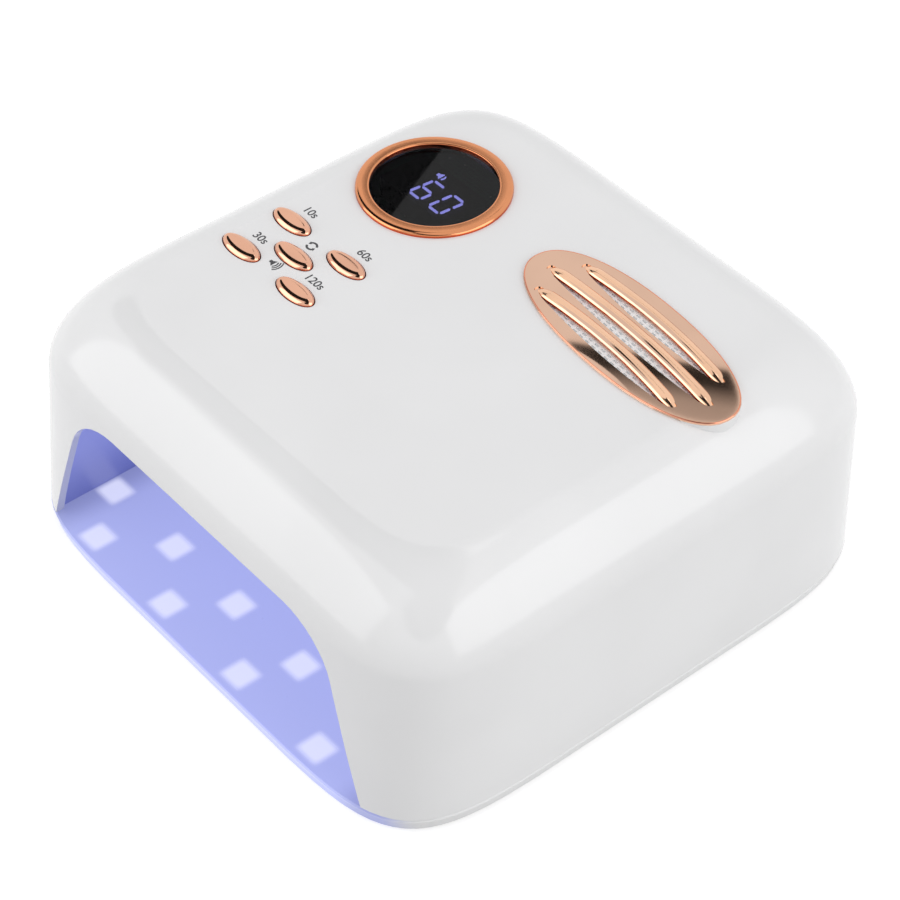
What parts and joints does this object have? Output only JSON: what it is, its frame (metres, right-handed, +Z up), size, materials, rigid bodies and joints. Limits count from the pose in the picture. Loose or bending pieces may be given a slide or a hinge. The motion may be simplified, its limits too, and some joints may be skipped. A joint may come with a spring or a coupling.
{
  "type": "uv nail lamp",
  "caption": "Desktop curing lamp for nails: gloss squarish housing with a hand tunnel, press buttons, round display and vent, lifting off a lit tray.",
  "frame": {"origin": "on the table, under the middle of the lamp", "axes": "+X to the user's right, +Y away from the user, so the hand opening faces -Y, and +Z up"},
  "size_m": [0.2098, 0.2114, 0.0922],
  "materials": {
    "foot_rubber": "moulded, matt",
    "white_shell": "gloss moulded, with a faint ripple",
    "tray_lilac": "smooth moulded, lit violet",
    "reflector_lilac": "satin moulded, lit violet",
    "window_glow": "frosted, lit from below",
    "led_chip": "phosphor cap",
    "led_dome": "clear dome",
    "board_green": "solder mask",
    "board_white": "white solder mask",
    "steel": "plated",
    "gold_contact": "gold plated",
    "rose_gold": "rose gold plate, polished",
    "mesh_white": "punched sheet",
    "lens_black": "polished acrylic",
    "digit_glow": "lit bars",
    "sensor_dark": "infrared dome",
    "black_plastic": "moulded",
    "ivory_plastic": "moulded",
    "capacitor_sleeve": "shrink sleeve",
    "coil_copper": "enamelled wire",
    "lead_black": "insulation",
    "lead_red": "insulation",
    "plunger_red": "moulded"
  },
  "bodies": {
    "tray": {"rubber_feet": "foot_rubber", "tray_cover": "white_shell", "tray_screws": "steel", "tray_led_board": "board_green", "tray_leds": "led_chip", "base_tray": "tray_lilac", "tray_windows": "window_glow", "tray_magnets": "steel", "tray_contacts": "gold_contact"},
    "housing": {"top_shell": "white_shell", "reflector": "reflector_lilac", "reflector_screws": "steel", "housing_magnets": "steel", "spring_contacts": "gold_contact", "ceiling_led_board": "board_white", "ceiling_leds": "led_dome", "left_led_board": "board_white", "left_leds": "led_dome", "right_led_board": "board_white", "right_leds": "led_dome", "hand_sensor": "sensor_dark", "control_board": "board_green", "board_screws": "steel", "tact_switches": "black_plastic", "controller_chip": "black_plastic", "capacitors": "capacitor_sleeve", "buzzer": "black_plastic", "lead_sockets": "ivory_plastic", "display_module": "black_plastic", "display_digits": "digit_glow", "display_lens": "lens_black", "display_bezel": "rose_gold", "vent_grille": "rose_gold", "vent_mesh": "mesh_white", "fan_frame": "black_plastic", "fan_coil": "coil_copper", "fan_screws": "steel", "dc_jack": "black_plastic", "jack_pin": "steel", "power_lead": "lead_black", "fan_lead": "lead_red"},
    "fan": {"fan_rotor": "black_plastic"},
    "key_10s": {"button_10s": "rose_gold", "plunger_10s": "plunger_red"},
    "key_60s": {"button_60s": "rose_gold", "plunger_60s": "plunger_red"},
    "key_30s": {"button_30s": "rose_gold", "plunger_30s": "plunger_red"},
    "key_120s": {"button_120s": "rose_gold", "plunger_120s": "plunger_red"},
    "key_cycle": {"button_cycle": "rose_gold", "plunger_cycle": "plunger_red"}
  },
  "joints": [
    {"name": "housing_lift", "type": "slide", "parent": "tray", "child": "housing", "axis": [0, 0, 1], "range_m": [0, 0.12]},
    {"name": "fan_spin", "type": "hinge", "parent": "housing", "child": "fan", "pos_m": [0.042, 0.0393, 0.077], "axis": [0, 0, 1], "continuous": true},
    {"name": "press_10s", "type": "slide", "parent": "housing", "child": "key_10s", "axis": [0, 0, -1], "range_m": [0, 0.0005], "stiffness_N_per_m": 600, "springref_m": -0.001},
    {"name": "press_60s", "type": "slide", "parent": "housing", "child": "key_60s", "axis": [0, 0, -1], "range_m": [0, 0.0005], "stiffness_N_per_m": 600, "springref_m": -0.001},
    {"name": "press_30s", "type": "slide", "parent": "housing", "child": "key_30s", "axis": [0, 0, -1], "range_m": [0, 0.0005], "stiffness_N_per_m": 600, "springref_m": -0.001},
    {"name": "press_120s", "type": "slide", "parent": "housing", "child": "key_120s", "axis": [0, 0, -1], "range_m": [0, 0.0005], "stiffness_N_per_m": 600, "springref_m": -0.001},
    {"name": "press_cycle", "type": "slide", "parent": "housing", "child": "key_cycle", "axis": [0, 0, -1], "range_m": [0, 0.0005], "stiffness_N_per_m": 600, "springref_m": -0.001}
  ]
}
